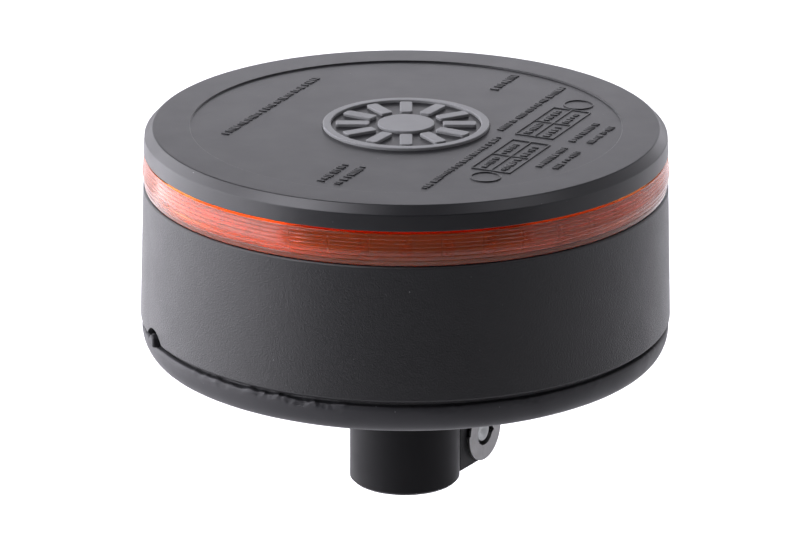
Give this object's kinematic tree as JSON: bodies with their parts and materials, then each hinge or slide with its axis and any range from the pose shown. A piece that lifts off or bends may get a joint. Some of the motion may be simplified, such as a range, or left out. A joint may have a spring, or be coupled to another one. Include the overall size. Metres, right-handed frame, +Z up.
{
  "type": "led warning beacon",
  "caption": "Low-profile amber LED warning beacon with a rubber foot and a clamped pole socket, for a vehicle or machine.",
  "frame": {"origin": "centre of the pole socket's mouth", "axes": "+Z up along the pole's axis, +X to the right and +Y away as seen from the beacon's front"},
  "size_m": [0.16, 0.16, 0.1186],
  "materials": {
    "cap_black": "satin moulded",
    "badge_grey": "fine matt",
    "seal_rubber": "matt",
    "amber_lens": "clear gloss",
    "clear_optic": "clear gloss",
    "white_circuit": "solder mask",
    "led_amber": "silicone dome",
    "aluminium": "die cast",
    "zinc_screws": "bright zinc",
    "red_wire": "insulation",
    "housing_black": "fine grain",
    "green_circuit": "solder mask",
    "capacitor_sleeve": "sleeve",
    "copper_winding": "enamelled",
    "chip_black": "epoxy",
    "terminal_green": "moulded",
    "floor_black": "moulded",
    "vent_grey": "moulded",
    "skirt_rubber": "soft matt",
    "socket_black": "smooth moulded",
    "insulator_cream": "moulded",
    "brass_contact": "drawn",
    "spring_steel": "drawn wire",
    "black_wire": "insulation",
    "zinc_clamp": "zinc plated"
  },
  "bodies": {
    "beacon": {"cap": "cap_black", "cap_badge": "badge_grey", "cap_gasket": "seal_rubber", "lens_ring": "amber_lens", "lens_gasket": "seal_rubber", "optic_ring": "clear_optic", "led_strip": "white_circuit", "leds": "led_amber", "heat_sink": "aluminium", "cap_screws": "zinc_screws", "led_leads": "red_wire", "housing": "housing_black", "driver_board": "green_circuit", "capacitors": "capacitor_sleeve", "inductor": "copper_winding", "driver_chips": "chip_black", "terminal_block": "terminal_green", "board_screws": "zinc_screws", "floor_plate": "floor_black", "floor_seal": "seal_rubber", "floor_screws": "zinc_screws", "vent_plug": "vent_grey", "base_skirt": "skirt_rubber", "socket": "socket_black", "socket_gasket": "seal_rubber", "socket_screws": "zinc_screws", "contact_cup": "floor_black", "contact_carrier": "insulator_cream", "live_tag": "brass_contact", "earth_strip": "brass_contact", "supply_leads": "black_wire", "clamp_nut": "zinc_clamp"},
    "contact": {"contact_plunger": "brass_contact", "plunger_clip": "spring_steel", "contact_spring": "spring_steel"},
    "screw_washer": {"clamp_washer": "zinc_clamp"},
    "wing_screw": {"wing_screw": "zinc_clamp"}
  },
  "joints": [
    {"name": "contact_press", "type": "slide", "parent": "beacon", "child": "contact", "axis": [0, 0, 1], "range_m": [0, 0.0035], "stiffness_N_per_m": 600, "springref_m": -0.002, "deforming": ["contact_spring"]},
    {"name": "screw_feed", "type": "slide", "parent": "beacon", "child": "screw_washer", "axis": [0.848, -0.5299, 0], "range_m": [-0.005, 0.002]},
    {"name": "screw_turn", "type": "hinge", "parent": "screw_washer", "child": "wing_screw", "pos_m": [0.01325, 0.0212, 0.0094], "axis": [0.848, -0.5299, 0], "range_deg": [-1440, 576]}
  ],
  "couplings": [
    {"joint": "screw_turn", "follows": "screw_feed", "rad_per_m": 5026.5}
  ]
}
